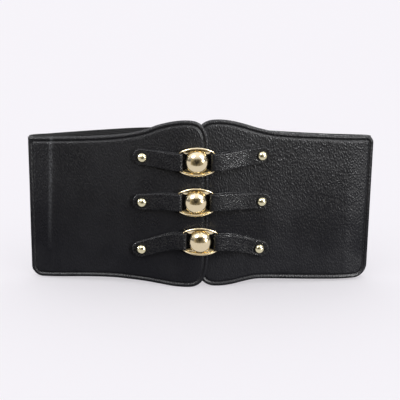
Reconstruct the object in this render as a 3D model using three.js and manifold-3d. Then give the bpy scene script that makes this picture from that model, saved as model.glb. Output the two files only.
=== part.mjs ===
// Wide elastic waist belt with two shaped leather front panels, three dome clasps on riveted straps
// and an elastic back, fastened and standing on its lower edge.
// Millimetres. +X runs along the front to the viewer's right, +Y to the back, +Z up.
import * as THREE from 'three';
import { mergeVertices } from 'three/addons/utils/BufferGeometryUtils.js';
import Module from 'manifold-3d';

const wasm = await Module();
wasm.setup();

// Driving dimensions
const GAP = 0.3;
const WRAP_GAP = 0.4;
const LAP_GAP = 0.55;
const PANEL_THICK = 2.5;
const PANEL_CHAMFER = 0.7;
const ELASTIC_THICK = 1.8;
const LAP = 22;
const LAP_INSET = 5;
const STRAP_THICK = 1.7;
const STRAP_END_WIDTH = 15.4;
const STRAP_WRAP_WIDTH = 16.8;
const STRAP_PAST_STUD = 9.5;
const BAR_X = 16.2;
const BAR_RADIUS = 1.1;
const BAR_HALF = 8.8;
const CLASP_Y = -4.2;
const ARM_RISE = 12.9;
const ARM_TIP_RISE = 9;
const ARM_HALF_THICK = 1.4;
const ARM_HALF_DEPTH = 1.7;
const SEAT_RADIUS = 10.2;
const SEAT_CHAMFER = 0.4;
const PLATE_FRONT = 0.8;
const PLATE_BACK = 1.9;
const DOME_RADIUS = 11.1;
const DOME_HEIGHT = 7.6;
const DOME_RIM = 0.5;
const DOME_STEM_RADIUS = 2;
const DOME_RIVET_RADIUS = 3;
const DOME_RIVET_THICK = 0.6;
const STUD_RADIUS = 4.6;
const STUD_HEIGHT = 3.4;
const STUD_SHANK_RADIUS = 1.3;
const STUD_CAP_RADIUS = 3.6;
const STUD_CAP_THICK = 0.9;
const CORNER_POWER = 2.8;

// Inner edge of the web beside a clasp's arm, as x and height. It clears the strap's wrap.
const WEB_EDGE = [
  [-14.6, 9], [-12.6, 8.8], [-11.6, 8.2], [-10.4, 7.5], [10.4, 7.5], [11.6, 8.2], [12.6, 8.8], [14.6, 9],
];

// Front panels, as rows from left to right: x, y of the front face, lower edge and upper edge.
// The inner end is a rounded corner from the hump's peak to the inner edge, worked out below.
const LEFT_PANEL = {
  edge: 8.2,
  peak: -14,
  cornerLow: 38,
  cornerHigh: 139,
  end: -167.6,
  endRadiusLow: 11,
  endRadiusHigh: 2,
  rows: [
    { x: -167.6, y: 29.8, low: 0, high: 144.3 },
    { x: -146, y: 24.5, low: 1.2, high: 145.5 },
    { x: -110, y: 17.6, low: 4.0, high: 147.6 },
    { x: -85, y: 12.7, low: 5.1, high: 150.0 },
    { x: -66, y: 9.1, low: 4.4, high: 153.1 },
    { x: -52, y: 6.5, low: 3.4, high: 156.8 },
    { x: -40, y: 4.4, low: 1.9, high: 161.7 },
    { x: -26, y: 1.9, low: 0.3, high: 165.5 },
    { x: -14, y: 0.1, low: 0, high: 167.1 },
    { x: 8.2, y: -0.3, low: 0, high: 167.1 },
  ],
};
const RIGHT_PANEL = {
  edge: -4.8,
  peak: 18,
  cornerLow: 38,
  cornerHigh: 139,
  end: 166.4,
  endRadiusLow: 13,
  endRadiusHigh: 7,
  rows: [
    { x: -4.8, y: 2.8, low: 0, high: 167.2 },
    { x: 18, y: 3.5, low: 0, high: 167.2 },
    { x: 30, y: 4.4, low: 1.1, high: 165.7 },
    { x: 42, y: 5.5, low: 3.8, high: 162.5 },
    { x: 54, y: 6.8, low: 5.9, high: 158.6 },
    { x: 68, y: 8.3, low: 5.7, high: 155.0 },
    { x: 88, y: 10.6, low: 4.5, high: 152.4 },
    { x: 112, y: 13.4, low: 3.1, high: 150.6 },
    { x: 142, y: 17.2, low: 1.9, high: 148.3 },
    { x: 166.4, y: 24.1, low: 1.6, high: 146.8 },
  ],
};

// Elastic back seen from above, from the left fold to the right fold: the middle of its thickness,
// and the heights of its lower and upper edges. It rests on the ground along the back.
const LEFT_LAP = { low: 6, high: 144 };
const RIGHT_LAP = { low: 6.4, high: 145.2 };
const BACK_ROUTE = [
  { x: -165.2, y: 37.2, low: 6, high: 144 },
  { x: -162, y: 41, low: 5.2, high: 143.9 },
  { x: -150, y: 45.6, low: 3.6, high: 143.6 },
  { x: -128, y: 55.5, low: 1.2, high: 142.9 },
  { x: -100, y: 67.6, low: 0, high: 142 },
  { x: -65, y: 78.2, low: 0, high: 141.5 },
  { x: -25, y: 82.6, low: 0, high: 141.2 },
  { x: 12, y: 80, low: 0, high: 141.2 },
  { x: 50, y: 71.8, low: 0, high: 141.5 },
  { x: 90, y: 59, low: 0, high: 142 },
  { x: 125, y: 47.6, low: 1.2, high: 143 },
  { x: 150, y: 38.8, low: 4, high: 144.4 },
  { x: 161.6, y: 34.2, low: 5.6, high: 145 },
  { x: 164, y: 30.8, low: 6.4, high: 145.2 },
];

// Clasp centres, and the studs that end their two straps. Tilt is in degrees.
const CLASPS = [
  { name: 'top', x: -2.8, z: 128.5, tilt: 0, left: { x: -53.6, z: 131 }, right: { x: 58.3, z: 132.5 } },
  { name: 'middle', x: -3.8, z: 89, tilt: 0, left: { x: -54.6, z: 86.6 }, right: { x: 58.6, z: 87.3 } },
  { name: 'bottom', x: 0.2, z: 49.4, tilt: 1.5, left: { x: -55.8, z: 38.9 }, right: { x: 57.1, z: 39.4 } },
];

const LEATHER = new THREE.MeshStandardMaterial({ color: 0x262528, roughness: 0.5 });
const ELASTIC = new THREE.MeshStandardMaterial({ color: 0x1b1b1d, roughness: 0.9 });
const GOLD = new THREE.MeshStandardMaterial({ color: 0xd6b878, roughness: 0.18, metalness: 1 });

// Smooth curve through one column of a table sorted by x, with the slopes of the rows around.
function smooth(rows, column) {
  const slope = (i) => {
    const before = rows[Math.max(i - 1, 0)];
    const after = rows[Math.min(i + 1, rows.length - 1)];
    return (after[column] - before[column]) / (after.x - before.x);
  };
  return (x) => {
    let i = 0;
    while (i < rows.length - 2 && x > rows[i + 1].x) i += 1;
    const span = rows[i + 1].x - rows[i].x;
    const t = THREE.MathUtils.clamp((x - rows[i].x) / span, 0, 1);
    const ease = t * t * (3 - 2 * t);
    const start = t * (1 - t) * (1 - t) * span * slope(i);
    const finish = t * t * (t - 1) * span * slope(i + 1);
    return rows[i][column] * (1 - ease) + rows[i + 1][column] * ease + start + finish;
  };
}

// Closed mesh through rings of equal point counts, capped at both ends, faces turned outwards.
function loft(rings) {
  const count = rings[0].length;
  const index = [];
  for (let r = 0; r < rings.length - 1; r += 1) {
    for (let k = 0; k < count; k += 1) {
      const a = r * count + k;
      const b = r * count + (k + 1) % count;
      index.push(a, b, a + count, b, b + count, a + count);
    }
  }
  const last = (rings.length - 1) * count;
  for (let k = 1; k < count - 1; k += 1) {
    index.push(0, k + 1, k, last, last + k, last + k + 1);
  }
  const geometry = new THREE.BufferGeometry();
  const flat = rings.flat().flatMap((p) => [p.x, p.y, p.z]);
  geometry.setAttribute('position', new THREE.Float32BufferAttribute(flat, 3));
  geometry.setIndex(index);
  return facingOut(geometry);
}

function facingOut(geometry) {
  const p = geometry.attributes.position;
  const index = geometry.index.array;
  const [a, b, c] = [new THREE.Vector3(), new THREE.Vector3(), new THREE.Vector3()];
  let volume = 0;
  for (let i = 0; i < index.length; i += 3) {
    a.fromBufferAttribute(p, index[i]);
    b.fromBufferAttribute(p, index[i + 1]);
    c.fromBufferAttribute(p, index[i + 2]);
    volume += a.dot(b.cross(c));
  }
  if (volume < 0) index.reverse();
  return geometry;
}

// A copy of the mesh with only its positions, coincident vertices merged.
function bared(geometry) {
  const bare = geometry.clone();
  bare.deleteAttribute('normal');
  bare.deleteAttribute('uv');
  return mergeVertices(bare, 1e-4);
}

function toSolid(geometry) {
  const merged = bared(geometry);
  const vertProperties = new Float32Array(merged.attributes.position.array);
  const triVerts = new Uint32Array(merged.index.array);
  return new wasm.Manifold(new wasm.Mesh({ numProp: 3, vertProperties, triVerts }));
}

function toGeometry(solid) {
  const mesh = solid.getMesh();
  const geometry = new THREE.BufferGeometry();
  geometry.setAttribute('position', new THREE.BufferAttribute(mesh.vertProperties, 3));
  geometry.setIndex(new THREE.BufferAttribute(mesh.triVerts, 1));
  return geometry;
}

function placed(geometry, matrix) {
  return geometry.clone().applyMatrix4(matrix);
}

// The panel's front face as a function of x, with the direction into its thickness.
function frontFace(panel) {
  const y = smooth(panel.rows, 'y');
  const step = 0.5;
  return (x) => {
    const slope = (y(x + step) - y(x - step)) / (2 * step);
    const inward = new THREE.Vector3(-slope, 1, 0).normalize();
    return { point: new THREE.Vector3(x, y(x), 0), inward, slope };
  };
}

// How far a rounded outer corner of a given radius stands back, a distance from the panel's end.
function cornerStep(distance, radius) {
  if (distance >= radius) return 0;
  return radius - Math.sqrt(radius * radius - (radius - distance) ** 2);
}

// Upright slices of a panel, from its inner edge over the hump to its outer end.
function panelSlices(panel) {
  const low = smooth(panel.rows, 'low');
  const high = smooth(panel.rows, 'high');
  const side = Math.sign(panel.end);
  const slices = [];
  const cornerCount = 9;
  for (let i = cornerCount; i > 0; i -= 1) {
    const angle = (Math.PI / 2) * (i / cornerCount);
    const along = Math.sin(angle) ** (2 / CORNER_POWER);
    const drop = 1 - Math.max(Math.cos(angle), 0) ** (2 / CORNER_POWER);
    slices.push({
      x: THREE.MathUtils.lerp(panel.peak, panel.edge, along),
      low: THREE.MathUtils.lerp(low(panel.peak), panel.cornerLow, drop),
      high: THREE.MathUtils.lerp(high(panel.peak), panel.cornerHigh, drop),
    });
  }
  const radius = Math.max(panel.endRadiusLow, panel.endRadiusHigh);
  const plainEnd = panel.end - side * radius;
  const plainCount = 26;
  for (let i = 0; i <= plainCount; i += 1) {
    const x = THREE.MathUtils.lerp(panel.peak, plainEnd, i / plainCount);
    slices.push({ x, low: low(x), high: high(x) });
  }
  const endCount = 7;
  for (let i = 1; i <= endCount; i += 1) {
    const distance = radius * (1 - Math.sin((Math.PI / 2) * (i / endCount)));
    const x = panel.end - side * distance;
    slices.push({
      x,
      low: low(x) + cornerStep(distance, panel.endRadiusLow),
      high: high(x) - cornerStep(distance, panel.endRadiusHigh),
    });
  }
  return slices;
}

function panelGeometry(panel) {
  const face = frontFace(panel);
  const c = PANEL_CHAMFER;
  const t = PANEL_THICK;
  const rings = panelSlices(panel).map(({ x, low, high }) => {
    const { point, inward } = face(x);
    const outline = [
      [0, low + c], [0, high - c], [c, high], [t - c, high],
      [t, high - c], [t, low + c], [t - c, low], [c, low],
    ];
    return outline.map(([depth, z]) => point.clone().addScaledVector(inward, depth).setZ(z));
  });
  return loft(rings);
}

// The elastic lies behind each panel's end as a lap, folds, and runs round the back.
function lapPoints(panel) {
  const face = frontFace(panel);
  const side = Math.sign(panel.end);
  const offset = PANEL_THICK + LAP_GAP + ELASTIC_THICK / 2;
  return [LAP, (2 * LAP + LAP_INSET) / 3, (LAP + 2 * LAP_INSET) / 3, LAP_INSET].map((distance) => {
    const { point, inward } = face(panel.end - side * distance);
    return point.clone().addScaledVector(inward, offset);
  });
}

function elasticGeometry() {
  const lap = (panel, { low, high }) => lapPoints(panel).map((p) => ({ x: p.x, y: p.y, low, high }));
  const rows = [
    ...lap(LEFT_PANEL, LEFT_LAP),
    ...BACK_ROUTE,
    ...lap(RIGHT_PANEL, RIGHT_LAP).reverse(),
  ];
  const through = (column) => {
    const points = rows.map((row) => new THREE.Vector3(row.x, row.y, row[column]));
    return new THREE.CatmullRomCurve3(points, false, 'centripetal');
  };
  const lower = through('low');
  const upper = through('high');
  const half = ELASTIC_THICK / 2;
  const perSpan = 7;
  const sections = (rows.length - 1) * perSpan;
  const rings = [];
  for (let i = 0; i <= sections; i += 1) {
    const foot = lower.getPoint(i / sections);
    const top = upper.getPoint(i / sections);
    const along = lower.getTangent(i / sections).setZ(0).normalize();
    const out = new THREE.Vector3(-along.y, along.x, 0);
    const corners = [[-half, foot.z], [half, foot.z], [half, top.z], [-half, top.z]];
    rings.push(corners.map(([depth, z]) => foot.clone().addScaledVector(out, depth).setZ(Math.max(z, 0))));
  }
  return loft(rings);
}

// A folded strap seen from its edge: u from the clasp's bar past the stud, v off the panel's face.
// Its middle line runs from the under layer's end, round the bar, to the upper layer's end.
function strapMiddleLine(studReach, barHeight) {
  const length = studReach + 2 * STRAP_PAST_STUD;
  const turn = BAR_RADIUS + WRAP_GAP + STRAP_THICK / 2;
  const underHeight = GAP + STRAP_THICK / 2;
  const upperHeight = underHeight + STRAP_THICK + GAP;
  const underRise = 16;
  const upperFall = studReach - STRAP_PAST_STUD;
  const points = [];
  const steps = 8;
  const ease = (t) => t * t * (3 - 2 * t);
  for (let i = 0; i <= steps; i += 1) {
    points.push([THREE.MathUtils.lerp(length, underRise, i / steps), underHeight]);
  }
  for (let i = 1; i <= steps; i += 1) {
    const height = THREE.MathUtils.lerp(underHeight, barHeight - turn, ease(i / steps));
    points.push([underRise * (1 - i / steps), height]);
  }
  for (let i = 1; i < steps; i += 1) {
    const angle = -Math.PI / 2 - Math.PI * (i / steps);
    points.push([turn * Math.cos(angle), barHeight + turn * Math.sin(angle)]);
  }
  for (let i = 0; i <= steps; i += 1) {
    const height = THREE.MathUtils.lerp(barHeight + turn, upperHeight, ease(i / steps));
    points.push([upperFall * (i / steps), height]);
  }
  for (let i = 1; i <= steps; i += 1) {
    points.push([THREE.MathUtils.lerp(upperFall, length, i / steps), upperHeight]);
  }
  return points.map(([u, v]) => new THREE.Vector2(u, v));
}

function strapProfile(studReach, barHeight) {
  const line = strapMiddleLine(studReach, barHeight);
  const normals = line.map((_, i) => {
    const before = line[Math.max(i - 1, 0)];
    const after = line[Math.min(i + 1, line.length - 1)];
    const along = after.clone().sub(before).normalize();
    return new THREE.Vector2(-along.y, along.x);
  });
  const side = (offset) => line.map((p, i) => p.clone().addScaledVector(normals[i], offset));
  return [...side(STRAP_THICK / 2), ...side(-STRAP_THICK / 2).reverse()];
}

// Outline of the strap seen from the front, in x and z: square at the bar, half-round past the stud.
function strapOutline(clasp, sign, bar, stud) {
  const tilt = THREE.MathUtils.degToRad(clasp.tilt);
  const half = STRAP_WRAP_WIDTH / 2;
  const radius = STRAP_END_WIDTH / 2;
  const up = new THREE.Vector2(Math.sin(tilt), Math.cos(tilt));
  const inward = new THREE.Vector2(-Math.cos(tilt), Math.sin(tilt)).multiplyScalar(sign);
  const root = new THREE.Vector2(bar.x, bar.z);
  const along = new THREE.Vector2(stud.x, stud.z).sub(root).normalize();
  const end = new THREE.Vector2(stud.x, stud.z).addScaledVector(along, STRAP_PAST_STUD - radius);
  const points = [
    root.clone().addScaledVector(inward, 10).addScaledVector(up, half),
    root.clone().addScaledVector(inward, 10).addScaledVector(up, -half),
    root.clone().addScaledVector(up, -half),
  ];
  const steps = 14;
  for (let i = 0; i <= steps; i += 1) {
    const turn = sign * Math.PI * (i / steps - 0.5);
    points.push(along.clone().rotateAround(new THREE.Vector2(), turn).multiplyScalar(radius).add(end));
  }
  points.push(root.clone().addScaledVector(up, half));
  return new THREE.Shape(points);
}

// The clasp's bar centre on one side, with the clasp's tilt.
function barCentre(clasp, side) {
  const tilt = THREE.MathUtils.degToRad(clasp.tilt);
  const x = clasp.x + side * BAR_X * Math.cos(tilt);
  const z = clasp.z - side * BAR_X * Math.sin(tilt);
  return new THREE.Vector3(x, CLASP_Y, z);
}

// Turns a lathe about the panel's face at a stud: its -Y axis points out of the face.
function studMatrix(panel, stud) {
  const { point, slope } = frontFace(panel)(stud.x);
  const turn = new THREE.Matrix4().makeRotationZ(Math.atan(slope));
  return turn.setPosition(point.x, point.y, stud.z);
}

function shankHole(panel, stud) {
  const hole = new THREE.CylinderGeometry(STUD_SHANK_RADIUS + GAP, STUD_SHANK_RADIUS + GAP, 40, 16);
  return toSolid(placed(hole, studMatrix(panel, stud)));
}

function strapGeometry(panel, clasp, sign, stud) {
  const tilt = THREE.MathUtils.degToRad(clasp.tilt);
  const bar = barCentre(clasp, sign);
  const faceY = smooth(panel.rows, 'y');
  const barHeight = faceY(bar.x) - CLASP_Y;
  const studReach = Math.abs(stud.x - bar.x);
  const profile = new THREE.Shape(strapProfile(studReach, barHeight));
  const width = 60;
  const folded = new THREE.ExtrudeGeometry(profile, { depth: width, bevelEnabled: false, steps: 1 });
  const p = folded.attributes.position;
  for (let i = 0; i < p.count; i += 1) {
    const [u, v, w] = [p.getX(i) * sign, p.getY(i), p.getZ(i) - width / 2];
    const x = bar.x + u * Math.cos(tilt) + w * Math.sin(tilt);
    const z = bar.z - u * Math.sin(tilt) + w * Math.cos(tilt);
    p.setXYZ(i, x, faceY(x) - v, z);
  }
  const outline = strapOutline(clasp, sign, bar, stud);
  const prism = new THREE.ExtrudeGeometry(outline, { depth: width, bevelEnabled: false, steps: 1 });
  prism.rotateX(Math.PI / 2).translate(0, width / 2, 0);
  const body = toSolid(facingOut(bared(folded))).intersect(toSolid(facingOut(bared(prism))));
  return toGeometry(body.subtract(shankHole(panel, stud)));
}

// The circle that the middle of a crescent arm follows.
function armArc() {
  const sagitta = ARM_RISE - ARM_TIP_RISE;
  const radius = (BAR_X * BAR_X + sagitta * sagitta) / (2 * sagitta);
  return { radius, centre: ARM_RISE - radius };
}

// One crescent arm of a clasp, from tip to tip, with an oval section that thins to the tips.
function armGeometry(up) {
  const { radius, centre } = armArc();
  const spread = Math.asin(BAR_X / radius);
  const sections = 18;
  const sides = 8;
  const rings = [];
  for (let i = 0; i <= sections; i += 1) {
    const t = (2 * i) / sections - 1;
    const angle = spread * t;
    const swell = 0.22 + 0.78 * Math.sqrt(1 - t * t);
    const ring = [];
    for (let k = 0; k < sides; k += 1) {
      const turn = (2 * Math.PI * k) / sides;
      const reach = radius + ARM_HALF_THICK * swell * Math.cos(turn);
      const z = centre + reach * Math.cos(angle);
      ring.push(new THREE.Vector3(reach * Math.sin(angle), ARM_HALF_DEPTH * swell * Math.sin(turn), up * z));
    }
    rings.push(ring);
  }
  return loft(rings);
}

// Flat web behind the dome that fills the space between the round seat and one arm.
function webGeometry(up) {
  const { radius, centre } = armArc();
  const spread = Math.asin(WEB_EDGE[WEB_EDGE.length - 1][0] / radius);
  const outline = new THREE.Shape(WEB_EDGE.map(([x, z]) => new THREE.Vector2(x, z)));
  outline.absarc(0, centre, radius, Math.PI / 2 - spread, Math.PI / 2 + spread, false);
  const thick = PLATE_BACK - PLATE_FRONT;
  const web = new THREE.ExtrudeGeometry(outline, { depth: thick, bevelEnabled: false, curveSegments: 12 });
  web.translate(0, 0, -thick / 2).rotateX((up * Math.PI) / 2);
  return facingOut(bared(web.translate(0, (PLATE_FRONT + PLATE_BACK) / 2, 0)));
}

function claspFrameGeometry() {
  const hole = DOME_STEM_RADIUS + GAP;
  const seat = new THREE.LatheGeometry([
    new THREE.Vector2(hole, PLATE_FRONT),
    new THREE.Vector2(SEAT_RADIUS - SEAT_CHAMFER, PLATE_FRONT),
    new THREE.Vector2(SEAT_RADIUS, PLATE_FRONT + SEAT_CHAMFER),
    new THREE.Vector2(SEAT_RADIUS, PLATE_BACK),
    new THREE.Vector2(hole, PLATE_BACK),
    new THREE.Vector2(hole, PLATE_FRONT),
  ], 32);
  let frame = toSolid(facingOut(bared(seat)));
  [-1, 1].forEach((up) => {
    frame = frame.add(toSolid(armGeometry(up))).add(toSolid(webGeometry(up)));
  });
  [-1, 1].forEach((side) => {
    const bar = new THREE.CylinderGeometry(BAR_RADIUS, BAR_RADIUS, 2 * BAR_HALF, 12);
    bar.rotateX(Math.PI / 2).translate(side * BAR_X, 0, 0);
    frame = frame.add(toSolid(bar));
  });
  return toGeometry(frame);
}

// Quarter-oval from the tip of a rounded head to its rim, as radius and y, the tip towards -Y.
function headProfile(radius, height, baseY, steps) {
  const points = [];
  for (let i = 0; i <= steps; i += 1) {
    const angle = (Math.PI / 2) * (i / steps);
    points.push(new THREE.Vector2(radius * Math.sin(angle), baseY - height * Math.cos(angle)));
  }
  points[0].x = 0;
  return points;
}

function domeGeometry() {
  const base = PLATE_FRONT - GAP;
  const back = PLATE_BACK + GAP;
  return facingOut(bared(new THREE.LatheGeometry([
    ...headProfile(DOME_RADIUS, DOME_HEIGHT, base - DOME_RIM, 8),
    new THREE.Vector2(DOME_RADIUS, base),
    new THREE.Vector2(DOME_STEM_RADIUS, base),
    new THREE.Vector2(DOME_STEM_RADIUS, back),
    new THREE.Vector2(DOME_RIVET_RADIUS, back),
    new THREE.Vector2(DOME_RIVET_RADIUS, back + DOME_RIVET_THICK),
    new THREE.Vector2(0, back + DOME_RIVET_THICK),
  ], 28)));
}

function studGeometry() {
  const base = -(2 * STRAP_THICK + 3 * GAP);
  const back = PANEL_THICK + GAP;
  return facingOut(bared(new THREE.LatheGeometry([
    ...headProfile(STUD_RADIUS, STUD_HEIGHT, base, 5),
    new THREE.Vector2(STUD_SHANK_RADIUS, base),
    new THREE.Vector2(STUD_SHANK_RADIUS, back),
    new THREE.Vector2(STUD_CAP_RADIUS, back),
    new THREE.Vector2(STUD_CAP_RADIUS, back + STUD_CAP_THICK),
    new THREE.Vector2(0, back + STUD_CAP_THICK),
  ], 16)));
}

const belt = new THREE.Group();

function addPiece(name, geometry, material, matrix = new THREE.Matrix4()) {
  const mesh = new THREE.Mesh(geometry, material.clone());
  mesh.name = name;
  mesh.applyMatrix4(matrix);
  belt.add(mesh);
}

const SIDES = [
  { name: 'left', sign: -1, panel: LEFT_PANEL },
  { name: 'right', sign: 1, panel: RIGHT_PANEL },
];

SIDES.forEach(({ name, panel }) => {
  const solid = CLASPS.reduce(
    (body, clasp) => body.subtract(shankHole(panel, clasp[name])),
    toSolid(panelGeometry(panel)),
  );
  addPiece(`${name}_panel`, toGeometry(solid), LEATHER);
});
addPiece('elastic_back', elasticGeometry(), ELASTIC);

const frameShape = claspFrameGeometry();
const domeShape = domeGeometry();
const studShape = studGeometry();
CLASPS.forEach((clasp) => {
  const seat = new THREE.Matrix4().makeRotationY(THREE.MathUtils.degToRad(clasp.tilt));
  seat.setPosition(clasp.x, CLASP_Y, clasp.z);
  addPiece(`clasp_frame_${clasp.name}`, frameShape, GOLD, seat);
  addPiece(`clasp_dome_${clasp.name}`, domeShape, GOLD, seat);
  SIDES.forEach(({ name, sign, panel }) => {
    const stud = clasp[name];
    addPiece(`strap_${name}_${clasp.name}`, strapGeometry(panel, clasp, sign, stud), LEATHER);
    addPiece(`stud_${name}_${clasp.name}`, studShape, GOLD, studMatrix(panel, stud));
  });
});

// The origin is the bottom centre of the belt's box.
const box = new THREE.Box3().setFromObject(belt, true);
const centre = box.getCenter(new THREE.Vector3());
belt.position.set(-centre.x, -centre.y, -box.min.z);

export default belt;
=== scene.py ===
"""Looks of a wide elastic waist belt: two shaped front panels of pebbled faux leather, three dome clasps
on folded and riveted straps, and an elastic back. It stands fastened on its lower edge.

Drawing sizes are in millimetres, as in the part's source. ORIGIN is where the drawing's zero lies in the
row frame, and every finished mesh is in metres in the row frame.
"""

import logging
import math
from bisect import bisect_left
from dataclasses import dataclass, field
from enum import Enum
from typing import Callable, Optional, Sequence

import bmesh
import bpy
from bmesh.types import BMEdge, BMesh, BMFace, BMLayerItem, BMVert
from bpy.types import Collection, Material, Node, NodeSocket, NodeTree, Object
from mathutils import Matrix, Vector, noise
from mathutils.kdtree import KDTree


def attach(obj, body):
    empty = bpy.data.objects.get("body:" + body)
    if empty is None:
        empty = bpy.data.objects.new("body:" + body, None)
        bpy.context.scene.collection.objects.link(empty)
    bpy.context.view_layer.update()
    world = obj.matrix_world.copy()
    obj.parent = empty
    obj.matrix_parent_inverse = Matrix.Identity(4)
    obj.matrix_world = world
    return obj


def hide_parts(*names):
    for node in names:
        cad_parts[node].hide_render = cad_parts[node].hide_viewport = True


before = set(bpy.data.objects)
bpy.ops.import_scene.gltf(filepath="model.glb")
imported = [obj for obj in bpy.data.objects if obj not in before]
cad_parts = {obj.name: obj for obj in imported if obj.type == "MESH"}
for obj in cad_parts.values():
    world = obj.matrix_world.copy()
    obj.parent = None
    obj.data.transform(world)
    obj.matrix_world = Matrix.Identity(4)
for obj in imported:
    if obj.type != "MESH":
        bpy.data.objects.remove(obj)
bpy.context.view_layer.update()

log = logging.getLogger("belt")

MM = 0.001
ORIGIN = Vector((0.6, -35.863, 0.0))
GAP = 0.3
ROOT = "root"

# Scale of a wave texture whose bands lie a metre apart.
WAVE = 0.314

# Points of an outline in x and z, in mm.
Outline = list[tuple[float, float]]


class Side(Enum):
    """The viewer's left or right half of the belt's front."""

    LEFT = "left"
    RIGHT = "right"

    @property
    def sign(self) -> int:
        """-1 on the left and 1 on the right, the direction away from the clasps."""
        return -1 if self is Side.LEFT else 1


class Level(Enum):
    """Which of the three clasps a piece belongs to."""

    TOP = "top"
    MIDDLE = "middle"
    BOTTOM = "bottom"


def to_frame(point: Vector) -> Vector:
    """Turns a drawing point in millimetres into a row-frame point in metres."""
    return (point + ORIGIN) * MM


def ease(t: float) -> float:
    """Rises smoothly from 0 at 0 to 1 at 1, and stays there outside."""
    t = min(max(t, 0.0), 1.0)
    return t * t * (3 - 2 * t)


def between(table: Sequence[tuple[float, float]], x: float) -> float:
    """Reads a two-column table along straight lines.

    Args:
        table: Rows of x and a value, sorted by x.
        x: Where to read.

    Returns:
        The value at x, held beyond the table's ends.
    """
    if x <= table[0][0]:
        return table[0][1]
    for (x0, y0), (x1, y1) in zip(table, table[1:]):
        if x <= x1:
            return y0 + (y1 - y0) * (x - x0) / (x1 - x0)
    return table[-1][1]


def linear(hex_colour: str) -> tuple[float, float, float, float]:
    """Turns an sRGB colour into a linear one.

    Args:
        hex_colour: The colour, such as "#2a2a2d".

    Returns:
        Linear red, green and blue, and an alpha of 1.
    """
    values = []
    for start in (1, 3, 5):
        c = int(hex_colour[start:start + 2], 16) / 255
        values.append(c / 12.92 if c <= 0.04045 else ((c + 0.055) / 1.055) ** 2.4)
    return (*values, 1.0)


def per_metre(size_mm: float) -> float:
    """Scale of a pattern whose features are some millimetres wide."""
    return 1 / (size_mm * MM)


def add_node(tree: NodeTree, kind: str, inputs: Optional[dict] = None) -> Node:
    """Adds one shader node with its settings and links.

    Args:
        tree: The node tree.
        kind: The node's Blender type name, without the ShaderNode that it starts with.
        inputs: What each property or input gets, by its name or number: a value, the output socket that
            feeds it, or the node whose first output feeds it.

    Returns:
        The new node.
    """
    node = tree.nodes.new(f"ShaderNode{kind}")
    for name, value in (inputs or {}).items():
        if isinstance(value, Node):
            value = value.outputs[0]
        if isinstance(value, NodeSocket):
            tree.links.new(value, node.inputs[name])
        elif isinstance(name, str) and name in node.bl_rna.properties:
            setattr(node, name, value)
        else:
            node.inputs[name].default_value = value
    return node


def new_material(name: str, surface: Callable[[NodeTree], Node]) -> Material:
    """Makes a material.

    Args:
        name: Its name.
        surface: Adds its nodes to a tree and returns the one that gives the surface.

    Returns:
        The material.
    """
    material = bpy.data.materials.new(name)
    material.use_nodes = True
    tree = material.node_tree
    tree.nodes.clear()
    add_node(tree, "OutputMaterial", {"Surface": surface(tree)})
    return material


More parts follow.
